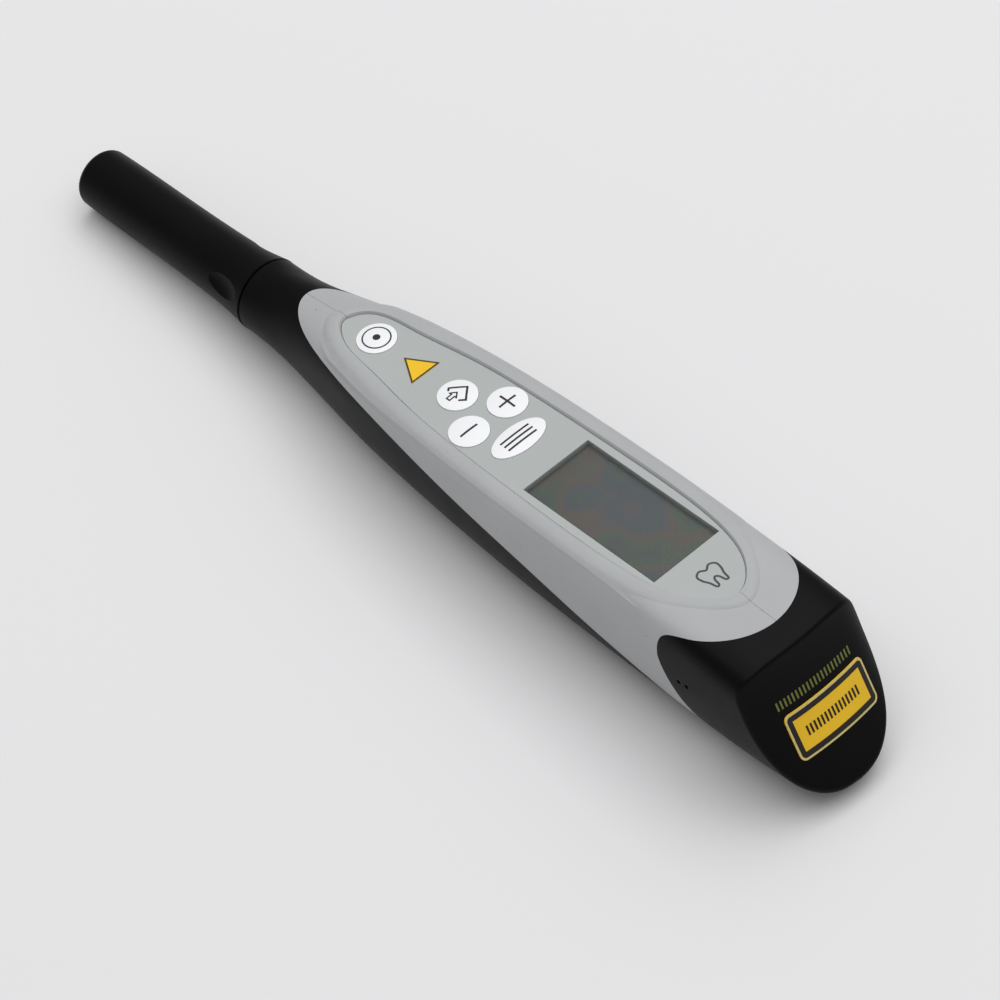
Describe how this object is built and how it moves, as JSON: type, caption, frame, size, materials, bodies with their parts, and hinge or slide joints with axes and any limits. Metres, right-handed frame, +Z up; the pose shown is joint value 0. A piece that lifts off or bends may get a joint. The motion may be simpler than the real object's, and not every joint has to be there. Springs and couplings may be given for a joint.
{
  "type": "dental detector pen",
  "caption": "Pen-shaped battery-powered dental detector with a display, domed keys on a raised panel, a pull-off turning grip sleeve and a slide-off rear cap.",
  "frame": {"origin": "centre of the bottom of the box around the pen as it rests on a table", "axes": "+X towards the rear cap along the pen's plan, +Z up, +Y to the user's right when the tip points forwards"},
  "size_m": [0.2168, 0.03, 0.0328],
  "materials": {
    "black_plastic": "fine matte",
    "grey_plastic": "satin",
    "panel_foil": "satin foil",
    "key_white": "satin",
    "clear_window": "clear",
    "display_glass": "gloss",
    "inner_plastic": "matte",
    "stainless": "turned",
    "seal_rubber": "matte",
    "optical_glass": "polished",
    "anodised_aluminium": "black anodised",
    "diode_can": "gold plated",
    "sensor_package": "moulded",
    "circuit_board": "solder mask",
    "switch_body": "moulded",
    "screw_steel": "zinc plated",
    "contact_metal": "nickel plated",
    "battery_jacket": "printed film",
    "label_yellow": "printed film"
  },
  "bodies": {
    "pen_body": {"lower_shell": "black_plastic", "left_housing": "grey_plastic", "right_housing": "grey_plastic", "face_panel": "panel_foil", "display_window": "clear_window", "lcd_module": "display_glass", "lcd_holder": "inner_plastic", "battery_tray": "inner_plastic", "nose_tube": "stainless", "collar_clip": "stainless", "nose_seal": "seal_rubber", "light_guide": "optical_glass", "collimating_lens": "optical_glass", "beam_splitter": "optical_glass", "optics_barrel": "anodised_aluminium", "laser_diode": "diode_can", "photodiode": "sensor_package", "board_chips": "sensor_package", "beeper": "sensor_package", "laser_board": "circuit_board", "main_board": "circuit_board", "key_switches": "switch_body", "board_screws": "screw_steel", "contact_spring": "contact_metal", "front_contact": "contact_metal", "battery": "battery_jacket", "triangle_label": "label_yellow"},
    "collar": {"turn_collar": "inner_plastic"},
    "sleeve": {"grip_sleeve": "black_plastic", "tip_spring_ring": "stainless"},
    "rear_cap": {"rear_cap": "black_plastic", "rear_label": "label_yellow", "cap_contact": "contact_metal"},
    "power_key": {"power_key": "key_white"},
    "save_key": {"save_key": "key_white"},
    "plus_key": {"plus_key": "key_white"},
    "minus_key": {"minus_key": "key_white"},
    "menu_key": {"menu_key": "key_white"}
  },
  "joints": [
    {"name": "sleeve_turn", "type": "hinge", "parent": "pen_body", "child": "collar", "pos_m": [-0.06519, 0, 0.00974], "axis": [0.9966, 0, 0.0822], "continuous": true},
    {"name": "sleeve_pull", "type": "slide", "parent": "collar", "child": "sleeve", "axis": [-0.9966, 0, -0.0822], "range_m": [0, 0.045]},
    {"name": "cap_pull", "type": "slide", "parent": "pen_body", "child": "rear_cap", "axis": [0.9966, 0, 0.0822], "range_m": [0, 0.045]},
    {"name": "power_key_press", "type": "slide", "parent": "pen_body", "child": "power_key", "axis": [0.0822, 0, -0.9966], "range_m": [0, 0.0004], "stiffness_N_per_m": 800, "springref_m": -0.0002},
    {"name": "save_key_press", "type": "slide", "parent": "pen_body", "child": "save_key", "axis": [0.0822, 0, -0.9966], "range_m": [0, 0.0004], "stiffness_N_per_m": 800, "springref_m": -0.0002},
    {"name": "plus_key_press", "type": "slide", "parent": "pen_body", "child": "plus_key", "axis": [0.0822, 0, -0.9966], "range_m": [0, 0.0004], "stiffness_N_per_m": 800, "springref_m": -0.0002},
    {"name": "minus_key_press", "type": "slide", "parent": "pen_body", "child": "minus_key", "axis": [0.0822, 0, -0.9966], "range_m": [0, 0.0004], "stiffness_N_per_m": 800, "springref_m": -0.0002},
    {"name": "menu_key_press", "type": "slide", "parent": "pen_body", "child": "menu_key", "axis": [0.0822, 0, -0.9966], "range_m": [0, 0.0004], "stiffness_N_per_m": 800, "springref_m": -0.0002}
  ]
}
